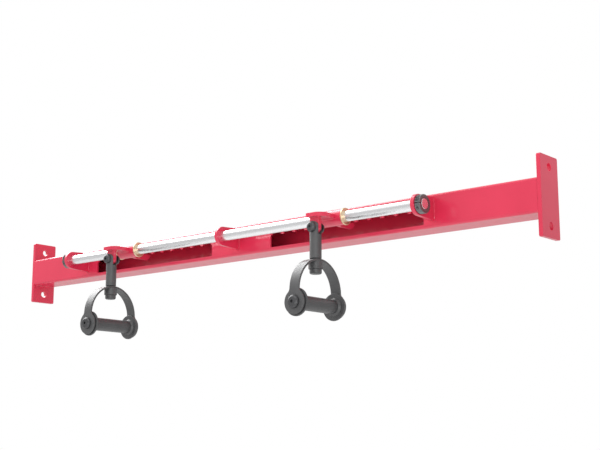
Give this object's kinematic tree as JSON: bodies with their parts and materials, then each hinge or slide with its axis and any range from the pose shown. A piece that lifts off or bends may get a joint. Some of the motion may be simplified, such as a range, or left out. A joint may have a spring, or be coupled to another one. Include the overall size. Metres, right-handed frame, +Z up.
{
  "type": "sliding pull-up handle crossbeam",
  "caption": "Red rack crossbeam with toothed slots and a chrome guide rod, carrying sliding, self-locking, swivelling D handles with turning grips.",
  "frame": {"origin": "centre of the left end plate's outer face", "axes": "+X along the beam to the right end plate, -Y out of the beam's front where the guide rod is, +Z up"},
  "size_m": [1.7145, 0.2724, 0.322],
  "materials": {
    "red_paint": "glossy powder coat",
    "chrome": "hard chrome, drawn and polished",
    "collar_steel": "turned, black oxide",
    "bronze": "sintered bronze",
    "dark_coat": "satin dark grey powder coat",
    "grip_coat": "fine textured dark grey powder coat",
    "fastener_black": "black oxide",
    "nylon_black": "matt"
  },
  "bodies": {
    "crossbeam": {"beam_tube": "red_paint", "end_plate_left": "red_paint", "end_plate_right": "red_paint", "bracket_left": "red_paint", "bracket_middle": "red_paint", "bracket_right": "red_paint", "guide_rod": "chrome", "collar_left": "collar_steel", "collar_right": "collar_steel", "collar_screws": "fastener_black"},
    "rod_bushings_left": {"rod_bushings_left": "bronze"},
    "carriage_left": {"sleeve_left": "red_paint", "deck_plate_left": "red_paint", "pivot_lug_left": "red_paint", "pivot_bushing_left": "bronze", "lock_lever_left": "red_paint"},
    "hanger_left": {"fork_left": "dark_coat", "pivot_pin_left": "fastener_black", "pivot_screw_left": "fastener_black", "pivot_washers_left": "fastener_black", "thrust_washer_left": "nylon_black", "retaining_cap_left": "dark_coat"},
    "swivel_left": {"swivel_hub_left": "dark_coat", "swivel_bushing_left": "bronze", "bow_left": "dark_coat", "grip_axle_left": "dark_coat", "axle_spacers_left": "nylon_black", "end_washers_left": "fastener_black", "end_screws_left": "fastener_black"},
    "hand_grip_left": {"grip_left": "grip_coat", "grip_discs_left": "grip_coat", "grip_bushings_left": "nylon_black"},
    "rod_bushings_right": {"rod_bushings_right": "bronze"},
    "carriage_right": {"sleeve_right": "red_paint", "deck_plate_right": "red_paint", "pivot_lug_right": "red_paint", "pivot_bushing_right": "bronze", "lock_lever_right": "red_paint"},
    "hanger_right": {"fork_right": "dark_coat", "pivot_pin_right": "fastener_black", "pivot_screw_right": "fastener_black", "pivot_washers_right": "fastener_black", "thrust_washer_right": "nylon_black", "retaining_cap_right": "dark_coat"},
    "swivel_right": {"swivel_hub_right": "dark_coat", "swivel_bushing_right": "bronze", "bow_right": "dark_coat", "grip_axle_right": "dark_coat", "axle_spacers_right": "nylon_black", "end_washers_right": "fastener_black", "end_screws_right": "fastener_black"},
    "hand_grip_right": {"grip_right": "grip_coat", "grip_discs_right": "grip_coat", "grip_bushings_right": "nylon_black"}
  },
  "joints": [
    {"name": "slide_left", "type": "slide", "parent": "crossbeam", "child": "rod_bushings_left", "axis": [1, 0, 0], "range_m": [-0.1905, 0.2286]},
    {"name": "lock_left", "type": "hinge", "parent": "rod_bushings_left", "child": "carriage_left", "pos_m": [0.49625, -0.09525, 0.0037], "axis": [1, 0, 0], "range_deg": [-12, 8]},
    {"name": "swing_left", "type": "hinge", "parent": "carriage_left", "child": "hanger_left", "pos_m": [0.49625, -0.15025, -0.0249], "axis": [0, 1, 0], "range_deg": [-60, 60]},
    {"name": "swivel_turn_left", "type": "hinge", "parent": "hanger_left", "child": "swivel_left", "pos_m": [0.49625, -0.15025, -0.1099], "axis": [0, 0, 1], "continuous": true},
    {"name": "grip_spin_left", "type": "hinge", "parent": "swivel_left", "child": "hand_grip_left", "pos_m": [0.49625, -0.15025, -0.2014], "axis": [0, 1, 0], "continuous": true},
    {"name": "slide_right", "type": "slide", "parent": "crossbeam", "child": "rod_bushings_right", "axis": [1, 0, 0], "range_m": [-0.2286, 0.1905]},
    {"name": "lock_right", "type": "hinge", "parent": "rod_bushings_right", "child": "carriage_right", "pos_m": [1.20125, -0.09525, 0.0037], "axis": [1, 0, 0], "range_deg": [-12, 8]},
    {"name": "swing_right", "type": "hinge", "parent": "carriage_right", "child": "hanger_right", "pos_m": [1.20125, -0.15025, -0.0249], "axis": [0, 1, 0], "range_deg": [-60, 60]},
    {"name": "swivel_turn_right", "type": "hinge", "parent": "hanger_right", "child": "swivel_right", "pos_m": [1.20125, -0.15025, -0.1099], "axis": [0, 0, 1], "continuous": true},
    {"name": "grip_spin_right", "type": "hinge", "parent": "swivel_right", "child": "hand_grip_right", "pos_m": [1.20125, -0.15025, -0.2014], "axis": [0, 1, 0], "continuous": true}
  ]
}
